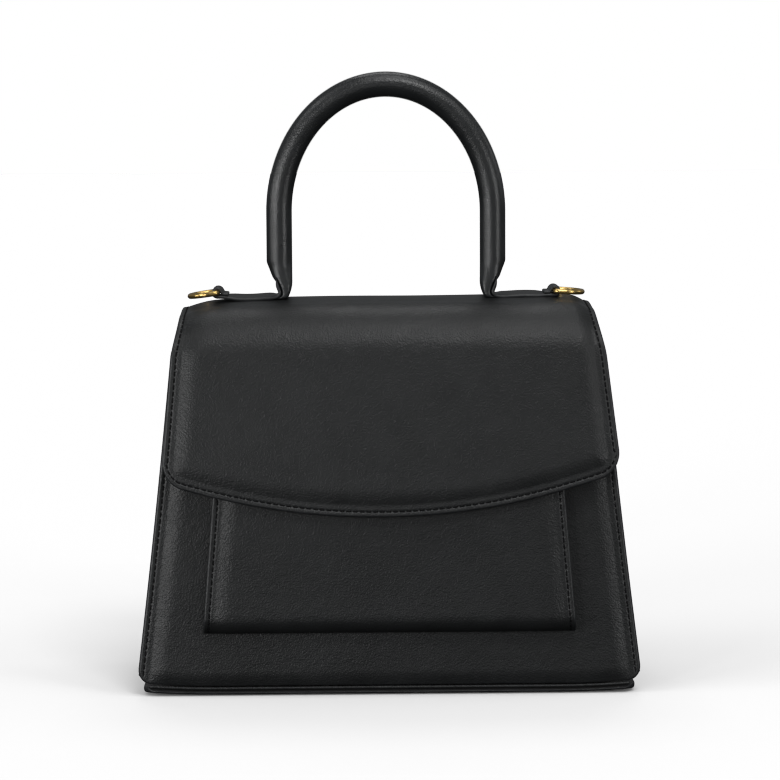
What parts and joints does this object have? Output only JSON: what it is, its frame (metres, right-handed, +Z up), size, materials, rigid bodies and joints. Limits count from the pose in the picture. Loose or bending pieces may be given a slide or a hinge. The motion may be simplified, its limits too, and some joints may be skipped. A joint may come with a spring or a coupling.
{
  "type": "crossbody bag with a top handle",
  "caption": "Small structured leather bag with a rolled top handle, a full flap over a front pocket, folded side gussets and a D-ring at each end for a shoulder strap.",
  "frame": {"origin": "on the floor, under the middle of the whole bag's box", "axes": "+Z up through the handle, +X to the right seen from the front, the flap and pocket face -Y"},
  "size_m": [0.2356, 0.1002, 0.2914],
  "materials": {
    "black_leather": "satin, fine grain",
    "gold_metal": "polished",
    "snap_steel": "plain"
  },
  "bodies": {
    "bag": {"front_panel": "black_leather", "back_panel": "black_leather", "base_panel": "black_leather", "gusset_left": "black_leather", "gusset_right": "black_leather", "welt_front": "black_leather", "welt_back": "black_leather", "pocket_face": "black_leather", "pocket_gusset_left": "black_leather", "pocket_gusset_right": "black_leather", "flap": "black_leather", "snap_disc": "snap_steel", "handle": "black_leather", "tab_left": "black_leather", "tab_right": "black_leather"},
    "left_ring": {"ring_left": "gold_metal"},
    "right_ring": {"ring_right": "gold_metal"}
  },
  "joints": [
    {"name": "left_ring_hinge", "type": "hinge", "parent": "bag", "child": "left_ring", "pos_m": [-0.0805, 0.00411, 0.18715], "axis": [0, 1, 0], "range_deg": [-8, 176]},
    {"name": "right_ring_hinge", "type": "hinge", "parent": "bag", "child": "right_ring", "pos_m": [0.0805, 0.00411, 0.18715], "axis": [0, -1, 0], "range_deg": [-8, 176]}
  ]
}
